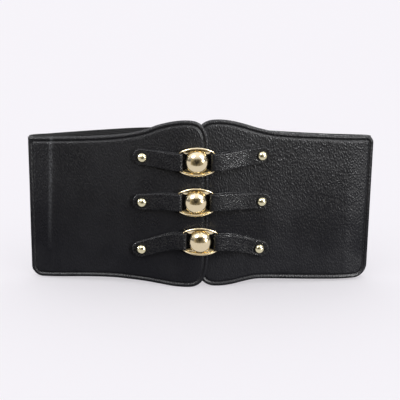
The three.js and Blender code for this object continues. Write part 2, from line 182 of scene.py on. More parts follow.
@dataclass(frozen=True)
class PebbledFauxLeather:
    """Polyurethane-coated cloth embossed with a pebble grain, black.

    The coat gives a dark satin face whose pebbles each catch a small glint, denser where the light
    grazes, over duller valleys. Real pebbles are about 1 mm; they are drawn at 1.25 mm to show. The
    emboss is pressed flatter towards the belt's lower edge. Where the left panel folds over the elastic
    the pebbles get a painted highlight, a pale grey that fades downwards, for light catching the fold.
    """

    name: str = "pebbled_pu_faux_leather"
    colour: str = "#1a1a1d"
    valley: str = "#101012"
    # Colour of the painted highlight along the left panel's fold, standing in for light catching it.
    painted_highlight_colour: str = "#4f5052"
    patch_mm: float = 45.0
    patch_shades: tuple[float, float] = (0.8, 1.25)
    worn_patches: tuple[float, float] = (0.42, 0.6)
    grain_mm: float = 1.25
    grain_stretch: float = 0.5
    grain_softness: float = 0.35
    grain_warp: float = 0.0012
    pebble_ends: tuple[float, float] = (0.75, 0.05)
    relief_mm: float = 0.33
    flattened: float = 0.55
    flattened_below_mm: float = 30.0
    crisp_above_mm: float = 128.0
    # Where the painted fold highlight runs: its foot, its lean with height and its half width.
    fold_foot_mm: float = -150.5
    fold_slope: float = 0.06
    fold_half_mm: float = 3.0
    crumple_mm: float = 9.0
    crumple_relief_mm: float = 0.2
    skin_mm: float = 0.7
    skin_relief_mm: float = 0.06
    roughness: float = 0.27
    worn_roughness: float = 0.37
    valley_roughness: float = 0.58
    valley_heights: tuple[float, float] = (0.15, 0.5)
    sheen: float = 0.4

    def pebbles(self, tree: NodeTree, spot: Node, z: NodeSocket) -> Node:
        """Adds the emboss.

        Args:
            tree: The material's node tree.
            spot: Gives the place, stretched along the grain.
            z: Gives the height over the ground.

        Returns:
            The node that gives the emboss's height, 1 on a pebble and low in a valley.
        """
        warp = add_node(tree, "TexNoise", {
            "Scale": per_metre(3 * self.grain_mm), "Detail": 1, "Vector": spot})
        bent = add_node(tree, "Mix", {
            "data_type": "VECTOR", "Factor": self.grain_warp, 4: spot, 5: warp.outputs["Color"]})
        cells = add_node(tree, "TexVoronoi", {
            "feature": "SMOOTH_F1", "Scale": per_metre(self.grain_mm), "Smoothness": self.grain_softness,
            "Vector": bent.outputs[1]})
        filled = add_node(tree, "MapRange", {
            "From Min": self.crisp_above_mm * MM, "From Max": self.flattened_below_mm * MM,
            "To Max": self.flattened, "Value": z})
        edge, top = self.pebble_ends
        return add_node(tree, "MapRange", {
            "From Min": edge, "From Max": top, "To Min": filled, "Value": cells})

    def painted_fold_highlight(self, tree: NodeTree, place: Node, height: Node) -> Node:
        """Adds the painted highlight along the left panel's fold, a pale grey on the pebbles that fades
        downwards.

        Args:
            tree: The material's node tree.
            place: Gives the place as X, Y and Z.
            height: Gives the emboss's height.

        Returns:
            The node that gives the share of the painted highlight's colour.
        """
        x, z = place.outputs["X"], place.outputs["Z"]
        upright = add_node(tree, "Math", {"operation": "MULTIPLY_ADD", 0: z, 1: -self.fold_slope, 2: x})
        from_fold = add_node(tree, "Math", {"operation": "SUBTRACT", 0: upright, 1: self.fold_foot_mm * MM})
        off_fold = add_node(tree, "Math", {"operation": "ABSOLUTE", 0: from_fold})
        on_fold = add_node(tree, "MapRange", {
            "interpolation_type": "SMOOTHSTEP", "From Min": self.fold_half_mm * MM, "From Max": 0.0,
            "Value": off_fold, "To Max": height})
        return add_node(tree, "MapRange", {
            "From Min": self.flattened_below_mm * MM, "From Max": self.crisp_above_mm * MM, "Value": z,
            "To Max": on_fold})

    def surface(self, tree: NodeTree) -> Node:
        """Adds the finish's nodes.

        Args:
            tree: The material's node tree.

        Returns:
            The shader.
        """
        spot = add_node(tree, "TexCoord").outputs["Object"]
        place = add_node(tree, "SeparateXYZ", {0: spot})
        stretched = add_node(tree, "Mapping", {"Scale": (1, 1, self.grain_stretch), "Vector": spot})
        patch = add_node(tree, "TexNoise", {"Scale": per_metre(self.patch_mm), "Detail": 2, "Vector": spot})
        height = self.pebbles(tree, stretched, place.outputs["Z"])
        tone = add_node(tree, "Mix", {
            "data_type": "RGBA", 0: height, 6: linear(self.valley), 7: linear(self.colour)})
        darkest, palest = self.patch_shades
        shade = add_node(tree, "MapRange", {"To Min": darkest, "To Max": palest, "Value": patch})
        colour = add_node(tree, "VectorMath", {"operation": "SCALE", 0: tone.outputs[2], "Scale": shade})
        # Mixes the painted fold highlight, a pale grey, over the leather's own colour.
        dressed = add_node(tree, "Mix", {
            "data_type": "RGBA", 0: self.painted_fold_highlight(tree, place, height), 6: colour, 7: linear(self.painted_highlight_colour)})
        crisp, worn = self.worn_patches
        top_gloss = add_node(tree, "MapRange", {
            "From Min": crisp, "From Max": worn, "To Min": self.roughness, "To Max": self.worn_roughness,
            "Value": patch})
        floor, flank = self.valley_heights
        gloss = add_node(tree, "MapRange", {
            "From Min": floor, "From Max": flank, "To Min": self.valley_roughness, "Value": height,
            "To Max": top_gloss})
        broad = add_node(tree, "TexNoise", {
            "Scale": per_metre(self.crumple_mm), "Detail": 2, "Vector": stretched})
        fine = add_node(tree, "TexNoise", {"Scale": per_metre(self.skin_mm), "Detail": 3, "Vector": spot})
        crumple = add_node(tree, "Bump", {"Distance": self.crumple_relief_mm * MM, "Height": broad})
        grain = add_node(tree, "Bump", {"Distance": self.relief_mm * MM, "Height": height, "Normal": crumple})
        skin = add_node(tree, "Bump", {"Distance": self.skin_relief_mm * MM, "Height": fine, "Normal": grain})
        return add_node(tree, "BsdfPrincipled", {
            "IOR": 1.5, "Specular IOR Level": self.sheen, "Base Color": dressed.outputs[2],
            "Roughness": gloss, "Normal": skin})


@dataclass(frozen=True)
class KnitBacking:
    """The brushed polyester knit that faux leather is coated on, black.

    It gives the panels' inner faces a soft matt surface with a faint rib of loops.
    """

    name: str = "brushed_polyester_knit"
    colour: str = "#19191b"
    loop_mm: float = 0.9116
    fuzz_mm: float = 0.5
    relief_mm: float = 0.3

    def surface(self, tree: NodeTree) -> Node:
        """Adds the finish's nodes.

        Args:
            tree: The material's node tree.

        Returns:
            The shader.
        """
        spot = add_node(tree, "TexCoord").outputs["Object"]
        loops = add_node(tree, "TexWave", {
            "wave_type": "BANDS", "bands_direction": "X", "Scale": WAVE * per_metre(self.loop_mm),
            "Distortion": 1.5, "Detail": 2, "Vector": spot})
        fuzz = add_node(tree, "TexNoise", {"Scale": per_metre(self.fuzz_mm), "Detail": 3, "Vector": spot})
        mixed = add_node(tree, "Mix", {
            "data_type": "FLOAT", "Factor": 0.5, 2: loops.outputs["Fac"], 3: fuzz})
        bump = add_node(tree, "Bump", {"Strength": 0.7, "Distance": self.relief_mm * MM, "Height": mixed})
        return add_node(tree, "BsdfPrincipled", {
            "Base Color": linear(self.colour), "Roughness": 0.9, "Sheen Weight": 0.25,
            "Sheen Roughness": 0.5, "Normal": bump})


@dataclass(frozen=True)
class RibbedElastic:
    """Woven polyester and rubber elastic, black.

    Its fine ribs run round the waist and its weft crosses them, so it looks matt with a faint grid.
    Real ribs are about 0.8 mm; they are drawn at 1.6 mm to show. UV is in metres of the band.
    """

    name: str = "woven_ribbed_elastic"
    colour: str = "#1a1a1c"
    groove: str = "#070708"
    rib_mm: float = 1.6
    weft_mm: float = 1.1
    relief_mm: float = 0.3

    def surface(self, tree: NodeTree) -> Node:
        """Adds the finish's nodes.

        Args:
            tree: The material's node tree.

        Returns:
            The shader.
        """
        spot = add_node(tree, "UVMap", {"uv_map": "band"})
        ribs, weft = (
            add_node(tree, "TexWave", {
                "wave_type": "BANDS", "bands_direction": axis, "Scale": WAVE * per_metre(size),
                "Distortion": bend, "Detail": 1, "Vector": spot}).outputs["Fac"]
            for axis, size, bend in (("Y", self.rib_mm, 0.3), ("X", self.weft_mm, 0.6)))
        mixed = add_node(tree, "Mix", {"data_type": "FLOAT", "Factor": 0.3, 2: ribs, 3: weft})
        tone = add_node(tree, "Mix", {
            "data_type": "RGBA", 0: mixed, 6: linear(self.groove), 7: linear(self.colour)})
        bump = add_node(tree, "Bump", {"Strength": 0.8, "Distance": self.relief_mm * MM, "Height": mixed})
        return add_node(tree, "BsdfPrincipled", {
            "Roughness": 0.72, "Sheen Weight": 0.12, "Sheen Roughness": 0.4,
            "Base Color": tone.outputs[2], "Normal": bump})


@dataclass(frozen=True)
class PolishedPlating:
    """Zinc alloy, cast, tumbled and plated in a pale gold colour.

    It mirrors the studio almost sharply, so it shows a bright floor, a dark room and soft lamps, with
    faint polishing marks.
    """

    name: str
    colour: str
    roughness: float
    smear: float = 0.06
    mark_mm: float = 2.5
    mark_relief_mm: float = 0.02

    def surface(self, tree: NodeTree) -> Node:
        """Adds the finish's nodes.

        Args:
            tree: The material's node tree.

        Returns:
            The shader.
        """
        spot = add_node(tree, "TexCoord").outputs["Object"]
        marks = add_node(tree, "TexNoise", {"Scale": per_metre(self.mark_mm), "Detail": 4, "Vector": spot})
        gloss = add_node(tree, "MapRange", {
            "To Min": self.roughness - self.smear, "To Max": self.roughness + self.smear, "Value": marks})
        bump = add_node(tree, "Bump", {
            "Strength": 0.5, "Distance": self.mark_relief_mm * MM, "Height": marks})
        return add_node(tree, "BsdfPrincipled", {
            "Base Color": linear(self.colour), "Metallic": 1.0, "Roughness": gloss, "Normal": bump})


@dataclass(frozen=True)
class WaxedThread:
    """Bonded polyester sewing thread, black: a slight shine along its twist."""

    name: str = "bonded_polyester_thread"
    colour: str = "#1d1d1f"
    twist_mm: float = 0.5065
    relief_mm: float = 0.1

    def surface(self, tree: NodeTree) -> Node:
        """Adds the finish's nodes.

        Args:
            tree: The material's node tree.

        Returns:
            The shader.
        """
        spot = add_node(tree, "TexCoord").outputs["Object"]
        twist = add_node(tree, "TexWave", {
            "wave_type": "BANDS", "bands_direction": "DIAGONAL", "Scale": WAVE * per_metre(self.twist_mm),
            "Vector": spot})
        bump = add_node(tree, "Bump", {
            "Strength": 0.5, "Distance": self.relief_mm * MM, "Height": twist.outputs["Fac"]})
        return add_node(tree, "BsdfPrincipled", {
            "Base Color": linear(self.colour), "Roughness": 0.5, "Normal": bump})


@dataclass(frozen=True)
class Wardrobe:
    """The materials that the pieces are dressed in, each made once."""

    leather: Material
    strap_leather: Material
    backing: Material
    elastic: Material
    clasp: Material
    stud: Material
    thread: Material

    @classmethod
    def made(cls) -> "Wardrobe":
        """Makes every material.

        Returns:
            The wardrobe.
        """
        finishes = {
            "leather": PebbledFauxLeather(),
            "strap_leather": PebbledFauxLeather(
                name="pebbled_pu_strap_leather", grain_mm=1.3, grain_stretch=0.8, relief_mm=0.25,
                flattened=0.0, crumple_relief_mm=0.12, roughness=0.18, worn_roughness=0.21),
            "backing": KnitBacking(),
            "elastic": RibbedElastic(),
            "clasp": PolishedPlating("polished_pale_gold_plating", "#efe0bc", 0.15),
            "stud": PolishedPlating("polished_pale_gold_rivet_plating", "#e3dcb8", 0.2),
            "thread": WaxedThread(),
        }
        return cls(**{use: new_material(finish.name, finish.surface) for use, finish in finishes.items()})


def piece_from(bm: BMesh, name: str, materials: Sequence[Material], crease_degrees: float = 40) -> Object:
    """Turns a finished bmesh into a smooth-shaded object at the origin.

    Args:
        bm: The mesh, in metres in the row frame. It is freed.
        name: The object's name.
        materials: Its material slots in order.
        crease_degrees: Edges that turn more than this stay sharp.

    Returns:
        The object, linked to the scene.
    """
    bmesh.ops.recalc_face_normals(bm, faces=bm.faces)
    mesh = bpy.data.meshes.new(name)
    bm.to_mesh(mesh)
    bm.free()
    for material in materials:
        mesh.materials.append(material)
    mesh.shade_smooth()
    mesh.set_sharp_from_angle(angle=math.radians(crease_degrees))
    piece = bpy.data.objects.new(name, mesh)
    bpy.context.scene.collection.objects.link(piece)
    return piece


def belt_piece(bm: BMesh, name: str, materials: Sequence[Material], node: Optional[str] = None,
               crease_degrees: float = 40) -> Object:
    """Turns a finished bmesh into a piece that rides with the belt's one body, and reports it.

    Args:
        bm: The mesh, in metres in the row frame. It is freed.
        name: The piece's name.
        materials: Its materials in order.
        node: The CAD node that it replaces, if it stands for one.
        crease_degrees: Edges that turn more than this stay sharp.

    Returns:
        The piece.
    """
    piece = piece_from(bm, name, materials, crease_degrees)
    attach(piece, ROOT)
    if node:
        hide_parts(node)
    log.info("%s: %d faces", piece.name, len(piece.data.polygons))
    return piece


def second_layer(bm: BMesh, faces: Sequence[BMFace]) -> tuple[list[BMVert], list[BMFace]]:
    """Extrudes faces in place, which makes a flat shape a closed one.

    Args:
        bm: The mesh.
        faces: The faces, which stay as the first layer.

    Returns:
        The new layer's vertices and faces.
    """
    made = bmesh.ops.extrude_face_region(bm, geom=list(faces), use_keep_orig=True)["geom"]
    return [g for g in made if isinstance(g, BMVert)], [g for g in made if isinstance(g, BMFace)]


def round_edges(bm: BMesh, edges: Sequence[BMEdge], offset: float, segments: int = 2) -> None:
    """Bevels edges softly."""
    bmesh.ops.bevel(bm, geom=edges, offset=offset, affect="EDGES", segments=segments, profile=0.5,
                    material=-1)


def lying(y: float) -> Matrix:
    """Lays a shape that stands round Z along Y, with its middle at y."""
    return Matrix.Translation((0, y, 0)) @ Matrix.Rotation(math.pi / 2, 4, "X")


def add_head(bm: BMesh, radius: float, height: float, base_y: float, around: int, along: int) -> None:
    """Adds a closed rounded head whose tip points to -Y.

    Args:
        bm: The mesh.
        radius: The head's radius.
        height: Its height.
        base_y: Where its flat base lies.
        around: Faces round it.
        along: Faces from pole to pole of the ball that it is cut from.
    """
    made = bmesh.ops.create_uvsphere(bm, u_segments=around, v_segments=along, radius=radius,
                                     matrix=lying(base_y))["verts"]
    faces = list({f for v in made for f in v.link_faces})
    edges = list({e for v in made for e in v.link_edges})
    cut = bmesh.ops.bisect_plane(bm, geom=made + edges + faces, dist=1e-4, plane_co=(0, base_y, 0),
                                 plane_no=(0, 1, 0), clear_outer=True)
    kept = [g for g in cut["geom"] if isinstance(g, BMVert) and g.is_valid]
    space = Matrix.Translation((0, -base_y, 0))
    bmesh.ops.scale(bm, verts=kept, vec=(1, height / radius, 1), space=space)
    rim = [g for g in cut["geom_cut"] if isinstance(g, BMEdge)]
    bmesh.ops.contextual_create(bm, geom=rim)


def add_post(bm: BMesh, radius: float, start_y: float, finish_y: float, around: int) -> None:
    """Adds a closed round post along Y with softly bevelled ends.

    Args:
        bm: The mesh.
        radius: The post's radius.
        start_y: Its front end.
        finish_y: Its back end.
        around: Faces round it.
    """
    made = bmesh.ops.create_cone(bm, cap_ends=True, segments=around, radius1=radius, radius2=radius,
                                 depth=finish_y - start_y, matrix=lying((start_y + finish_y) / 2))["verts"]
    rims = list({e for v in made for e in v.link_edges if e.calc_face_angle(0) > 1})
    round_edges(bm, rims, min(0.2, (finish_y - start_y) / 4))


def add_stitch(bm: BMesh, start: Vector, finish: Vector, radius: float) -> None:
    """Adds one stitch, a slim rounded stick.

    Args:
        bm: The mesh, in metres.
        start: The stitch's start.
        finish: Its end.
        radius: The thread's radius.
    """
    axis = finish - start
    turn = axis.to_track_quat("Z", "Y").to_matrix().to_4x4()
    size = Matrix.Diagonal((radius, radius, axis.length / 2 + radius, 1))
    matrix = Matrix.Translation((start + finish) / 2) @ turn @ size
    bmesh.ops.create_uvsphere(bm, u_segments=6, v_segments=5, radius=1, matrix=matrix)


@dataclass(frozen=True)
class Section:
    """An upright section of a panel or of the elastic: its place seen from above and its two edges, in mm."""

    x: float
    y: float
    low: float
    high: float


def smooth(rows: Sequence[Section], column: str) -> Callable[[float], float]:
    """Makes a smooth curve through one column of rows.

    Args:
        rows: The rows, sorted by x.
        column: The name of the value that the curve runs through.

    Returns:
        The curve as a function of x, with the slopes of the rows around, and held beyond the ends.
    """

    def slope(i: int) -> float:
        """The curve's slope at one row."""
        before, after = rows[max(i - 1, 0)], rows[min(i + 1, len(rows) - 1)]
        return (getattr(after, column) - getattr(before, column)) / (after.x - before.x)

    def value(x: float) -> float:
        """Reads the curve.

        Args:
            x: Where to read.

        Returns:
            The value at x.
        """
        i = 0
        while i < len(rows) - 2 and x > rows[i + 1].x:
            i += 1
        span = rows[i + 1].x - rows[i].x
        t = min(max((x - rows[i].x) / span, 0), 1)
        start = t * (1 - t) ** 2 * span * slope(i)
        finish = t * t * (t - 1) * span * slope(i + 1)
        low, high = getattr(rows[i], column), getattr(rows[i + 1], column)
        return low * (1 - ease(t)) + high * ease(t) + start + finish

    return value


# Height of a panel's face over its plain face, by distance from its edge, in mm: the turned hem stands
# as a soft roll, and a sewn groove runs inside it.
HEM = (
    (0.0, -1.15), (0.35, -0.5), (0.9, -0.02), (1.7, 0.32), (2.6, 0.3), (3.3, 0.0), (3.8, -0.5),
    (4.3, -0.75), (4.8, -0.45), (5.4, -0.02), (6.4, 0.3),
)
HEM_WIDTH, HEM_RISE = HEM[-1]

# Depth of a panel's back behind its plain face, by distance from its edge, in mm.
HEM_BACK = ((0.0, 1.7), (0.35, 2.2), (0.9, 2.45))

GROOVE = 4.3
SHARP_CORNER = 3.0

# Waves of a panel's leather: height, length along x and z, and place in the noise, in mm.
WAVES = ((0.5, 34, 48, 0), (0.2, 13, 17, 5))


@dataclass
class FrontPanel:
    """A shaped front panel of faux leather with a turned and sewn hem."""

    side: Side
    edge: float
    peak: float
    corner_low: float
    corner_high: float
    end: float
    end_radius_low: float
    end_radius_high: float
    crease_foot: float
    crease_height: float
    rows: Sequence[Section]
    crease_slope: float = 0.0
    crease_run: float = 3.0
    lap_rise: float = 0.45
    lap_run: float = 5.0
    end_lean: float = 0.0
    lean_from: float = 110.0
    lean_run: float = 50.0
    corner_power: float = 2.8
    roll_fade: float = 9.0
    roll_swell: float = 0.25
    swell_fade: float = 5.0
    calm_to: float = 68.0
    calm_fade: float = 25.0
    hem_hold: float = 3.0
    hem_fade: float = 8.0
    thick: float = 2.5
    mesh_step: float = 2.2
    thread_radius: float = 0.32
    thread_rise: float = 0.22
    seed: float = 0.0
    y: Callable[[float], float] = field(init=False)
    low: Callable[[float], float] = field(init=False)
    high: Callable[[float], float] = field(init=False)

    def __post_init__(self) -> None:
        """Prepares the curves through the rows."""
        self.y, self.low, self.high = (smooth(self.rows, column) for column in ("y", "low", "high"))

    @property
    def node(self) -> str:
        """The CAD node that the panel replaces."""
        return f"{self.side.value}_panel"

    def inward(self, x: float) -> Vector:
        """Unit direction from the front face into the panel's thickness at x."""
        slope = self.y(x + 0.5) - self.y(x - 0.5)
        return Vector((-slope, 1, 0)).normalized()

    def at(self, x: float, z: float, depth: float = 0) -> Vector:
        """Drawing point at x and z, a depth behind the plain front face."""
        return Vector((x, self.y(x), z)) + self.inward(x) * depth

    def inner_corner(self, edge_z: float, peak_z: float, steps: int = 18) -> Outline:
        """Rounds the inner corner between the straight inner edge and the hump's peak.

        Args:
            edge_z: Where the straight inner edge ends.
            peak_z: The long edge's height at the peak.
            steps: How many steps the corner takes.

        Returns:
            The corner's points, from the inner edge to the peak.
        """
        points = []
        for i in range(steps, -1, -1):
            angle = math.pi / 2 * i / steps
            along = math.sin(angle) ** (2 / self.corner_power)
            drop = 1 - max(math.cos(angle), 0) ** (2 / self.corner_power)
            x = self.peak + (self.edge - self.peak) * along
            points.append((x, peak_z + (edge_z - peak_z) * drop))
        return points

    def outer_corner(self, edge: Callable[[float], float], radius: float, up: int,
                     steps: int = 12) -> Outline:
        """Rounds one outer corner.

        Args:
            edge: The long edge's height by x.
            radius: The corner's radius. A small one is left sharp.
            up: 1 at the upper edge and -1 at the lower one.
            steps: How many steps the corner takes.

        Returns:
            The corner's points, from the long edge to the panel's end.
        """
        if radius < SHARP_CORNER:
            return [(self.end, edge(self.end))]
        points = []
        for i in range(steps + 1):
            angle = math.pi / 2 * i / steps
            x = self.end - self.side.sign * radius * (1 - math.sin(angle))
            points.append((x, edge(x) - up * radius * (1 - math.cos(angle))))
        return points

    def outline(self) -> Outline:
        """Draws the panel's outline.

        Returns:
            Its points in order.
        """

        def run(start: float, finish: float, place: Callable[[float], tuple[float, float]]) -> Outline:
            """Points at an even pitch between two values, without the ends."""
            count = max(2, round(abs(finish - start) / self.mesh_step))
            return [place(start + (finish - start) * i / count) for i in range(1, count)]

        low_corner = self.outer_corner(self.low, self.end_radius_low, -1)
        high_corner = self.outer_corner(self.high, self.end_radius_high, 1)
        lower = self.inner_corner(self.corner_low, self.low(self.peak))
        lower += run(self.peak, low_corner[0][0], lambda x: (x, self.low(x)))
        lower += low_corner
        lower += run(low_corner[-1][1], high_corner[-1][1], lambda z: (self.end, z))
        upper = self.inner_corner(self.corner_high, self.high(self.peak))
        upper += run(self.peak, high_corner[0][0], lambda x: (x, self.high(x)))
        upper += high_corner
        inner = run(self.corner_high, self.corner_low, lambda z: (self.edge, z))
        outline = lower + upper[::-1] + inner
        if self.end_radius_high < SHARP_CORNER:
            # The hem's rings move this far in, so no point may lie closer to a sharp corner.
            tip, clear = high_corner[0], HEM_WIDTH + 1
            outline = [p for p in outline if p == tip or math.dist(p, tip) > clear]
        middle = self.high(self.end) / 2
        leaning = [self.end_lean * (z / middle - 1) * ease((abs(x) - self.lean_from) / self.lean_run)
                   for x, z in outline]
        return [(x + lean, z) for (x, z), lean in zip(outline, leaning)]

    def relief(self, x: float, z: float, distance: float) -> float:
        """Says how far the leather stands over its plain face: its hem, its crease and its waves.

        Args:
            x: The place along the panel.
            z: Its height over the ground.
            distance: Its distance from the panel's edge.

        Returns:
            The leather's height there.
        """
        if distance <= HEM_WIDTH:
            rise = between(HEM, distance)
        else:
            inside = distance - HEM_WIDTH
            swell = 1 + self.roll_swell * inside * math.exp(-inside / self.swell_fade)
            rise = HEM_RISE * math.exp(-inside / self.roll_fade) * swell
        beyond = (x - self.crease_foot - self.crease_slope * z) * self.side.sign
        lap = self.lap_rise * ease(beyond / self.lap_run + 0.5)
        lap += self.crease_height * math.exp(-(beyond / self.crease_run) ** 2)
        wander = sum(height * noise.noise(Vector((x / along, z / up, self.seed + shift)))
                     for height, along, up, shift in WAVES)
        open_ground = ease((abs(x) - self.calm_to) / self.calm_fade)
        return rise + ease((distance - self.hem_hold) / self.hem_fade) * (lap + wander * open_ground)

    def flat_blank(self) -> tuple[BMesh, BMLayerItem]:
        """Cuts the panel's front as a flat sheet in x and z, with rings along its hem.

        Returns:
            The bmesh and its vertex layer of the distance from the edge.
        """
        bm = bmesh.new()
        distance = bm.verts.layers.float.new("distance")
        outline = self.outline()
        inner = bm.faces.new([bm.verts.new((x, 0, z)) for x, z in outline])
        inner.normal_update()
        for (start, _), (finish, _) in zip(HEM, HEM[1:]):
            bmesh.ops.inset_region(bm, faces=[inner], thickness=finish - start,
                                   use_boundary=True, use_even_offset=True)
            for vert in inner.verts:
                vert[distance] = finish
        ring_verts = set(bm.verts) - set(inner.verts)
        geom = [inner, *inner.edges, *inner.verts]
        for normal, values in ((Vector((1, 0, 0)), [x for x, _ in outline]),
                               (Vector((0, 0, 1)), [z for _, z in outline])):
            for i in range(1, int((max(values) - min(values)) / self.mesh_step)):
                place = normal * (min(values) + self.mesh_step * i)
                cut = bmesh.ops.bisect_plane(bm, geom=geom, dist=1e-4, plane_co=place, plane_no=normal)
                geom = cut["geom"]
        tree = KDTree(len(outline))
        for i, (x, z) in enumerate(outline):
            tree.insert((x, 0, z), i)
        tree.balance()
        for vert in set(bm.verts) - ring_verts:
            if vert[distance] == 0:
                vert[distance] = max(tree.find(vert.co)[2], HEM_WIDTH)
        return bm, distance

    def build(self, wardrobe: Wardrobe) -> Object:
        """Makes the panel: the flat sheet gets a back, its relief and the front's bend.

        Args:
            wardrobe: The materials.

        Returns:
            The panel.
        """
        bm, distance = self.flat_blank()
        front = list(bm.verts)
        back, back_faces = second_layer(bm, bm.faces)
        for vert in back:
            depth = between(HEM_BACK, vert[distance])
            vert.co = to_frame(self.at(vert.co.x, vert.co.z, depth))
        for vert in front:
            depth = -self.relief(vert.co.x, vert.co.z, vert[distance])
            vert.co = to_frame(self.at(vert.co.x, vert.co.z, depth))
        for face in back_faces:
            face.material_index = 1 if min(v[distance] for v in face.verts) > GROOVE else 0
        return belt_piece(bm, f"{self.node}_leather", [wardrobe.leather, wardrobe.backing],
                          self.node, 50)

    def stitches(self, wardrobe: Wardrobe, pitch: float = 3.4, length: float = 2.5) -> Object:
        """Makes the row of stitches that lies in the hem's groove.

        Args:
            wardrobe: The materials.
            pitch: The distance from one stitch to the next.
            length: A stitch's length.

        Returns:
            The thread.
        """
        bm = bmesh.new()
        outline = [Vector((x, 0, z)) for x, z in self.outline()]
        depth = -between(HEM, GROOVE) - self.thread_rise
        for spot, along in offset_walk(outline, GROOVE, pitch):
            places = [spot + along * shift for shift in (-length / 2, length / 2)]
            ends = [to_frame(self.at(place.x, place.z, depth)) for place in places]
            add_stitch(bm, *ends, self.thread_radius * MM)
        return belt_piece(bm, f"{self.node}_hem_stitches", [wardrobe.thread])

    def declare(self, piece: Object, thread: Object) -> None:
        """Works out the outline that the panel's sheet is cut to, and does nothing with it.

        Args:
            piece: Not used.
            thread: Not used.
        """
        outline = self.outline()


def offset_walk(outline: Sequence[Vector], inset: float, pitch: float) -> list[tuple[Vector, Vector]]:
    """Places at an even pitch along a closed outline, moved towards its inside.

    Args:
        outline: Points in the xz plane, in order.
        inset: How far inside the outline the places lie.
        pitch: The distance from one place to the next.

    Returns:
        Each place with its direction along the outline.
    """
    centre = sum(outline, Vector()) / len(outline)
    count = len(outline)
    loop = []
    for i, point in enumerate(outline):
        along = (outline[(i + 1) % count] - outline[i - 1]).normalized()
        inward = Vector((along.z, 0, -along.x))
        if inward.dot(centre - point) < 0:
            inward = -inward
        loop.append(point + inward * inset)
    spots = []
    left = pitch / 2
    for a, b in zip(loop, loop[1:] + loop[:1]):
        span = (b - a).length
        while span > left:
            along = (b - a).normalized()
            spots.append((a + along * left, along))
            left += pitch
        left -= span
    return spots


LEFT_PANEL = FrontPanel(
    side=Side.LEFT, edge=8.2, peak=-14, corner_low=38, corner_high=139, end=-167.6,
    end_radius_low=11, end_radius_high=2, crease_foot=-150.5, crease_slope=0.06, crease_height=2.2,
    end_lean=1.6, seed=1.0,
    rows=(
        Section(-167.6, 29.8, 0, 144.3),
        Section(-146, 24.5, 1.2, 145.5),
        Section(-110, 17.6, 4.0, 147.6),
        Section(-85, 12.7, 5.1, 150.0),
        Section(-66, 9.1, 4.4, 153.1),
        Section(-52, 6.5, 3.4, 156.8),
        Section(-40, 4.4, 1.9, 161.7),
        Section(-26, 1.9, 0.3, 165.5),
        Section(-14, 0.1, 0, 167.1),
        Section(8.2, -0.3, 0, 167.1),
    ),
)
RIGHT_PANEL = FrontPanel(
    side=Side.RIGHT, edge=-4.8, peak=18, corner_low=38, corner_high=139, end=166.4,
    end_radius_low=13, end_radius_high=7, crease_foot=142, crease_height=0.6, seed=9.0,
    rows=(
        Section(-4.8, 2.8, 0, 167.2),
        Section(18, 3.5, 0, 167.2),
        Section(30, 4.4, 1.1, 165.7),
        Section(42, 5.5, 3.8, 162.5),
        Section(54, 6.8, 5.9, 158.6),
        Section(68, 8.3, 5.7, 155.0),
        Section(88, 10.6, 4.5, 152.4),
        Section(112, 13.4, 3.1, 150.6),
        Section(142, 17.2, 1.9, 148.3),
        Section(166.4, 24.1, 1.6, 146.8),
    ),
)
PANELS = {Side.LEFT: LEFT_PANEL, Side.RIGHT: RIGHT_PANEL}

# The elastic round the back, from the left fold to the right fold.
BACK_ROUTE = (
    Section(-165.2, 37.2, 6, 144),
    Section(-162, 41, 5.2, 143.9),
    Section(-150, 45.6, 3.6, 143.6),
    Section(-128, 55.5, 1.2, 142.9),
    Section(-100, 67.6, 0, 142),
    Section(-65, 78.2, 0, 141.5),
    Section(-25, 82.6, 0, 141.2),
    Section(12, 80, 0, 141.2),
    Section(50, 71.8, 0, 141.5),
    Section(90, 59, 0, 142),
    Section(125, 47.6, 1.2, 143),
    Section(150, 38.8, 4, 144.4),
    Section(161.6, 34.2, 5.6, 145),
    Section(164, 30.8, 6.4, 145.2),
)


@dataclass(frozen=True)
class Lap:
    """Where the elastic is sewn behind a panel's end: its edges and its stitches' ends in z, in mm."""

    panel: FrontPanel
    low: float
    high: float
    sewn_low: float
    sewn_high: float


LAPS = (Lap(LEFT_PANEL, 6, 144, 8.5, 141.5), Lap(RIGHT_PANEL, 6.4, 145.2, 9, 142.5))


def through_points(points: Sequence[Vector], t: float) -> Vector:
    """Follows the centripetal Catmull-Rom curve through points.

    Args:
        points: The points in order.
        t: How far along the curve, from 0 to 1.

    Returns:
        The point there.
    """
    place = t * (len(points) - 1)
    i = min(int(place), len(points) - 2)
    w = place - i
    p1, p2 = points[i], points[i + 1]
    p0 = points[i - 1] if i > 0 else 2 * p1 - p2
    p3 = points[i + 2] if i + 2 < len(points) else 2 * p2 - p1
    d0, d1, d2 = ((b - a).length ** 0.5 for a, b in ((p0, p1), (p1, p2), (p2, p3)))
    m1 = ((p1 - p0) / d0 - (p2 - p0) / (d0 + d1) + (p2 - p1) / d1) * d1
    m2 = ((p2 - p1) / d1 - (p3 - p1) / (d1 + d2) + (p3 - p2) / d2) * d1
    fall = (2 * w ** 3 - 3 * w ** 2 + 1) * p1 + (w ** 3 - 2 * w ** 2 + w) * m1
    return fall + (3 * w ** 2 - 2 * w ** 3) * p2 + (w ** 3 - w ** 2) * m2


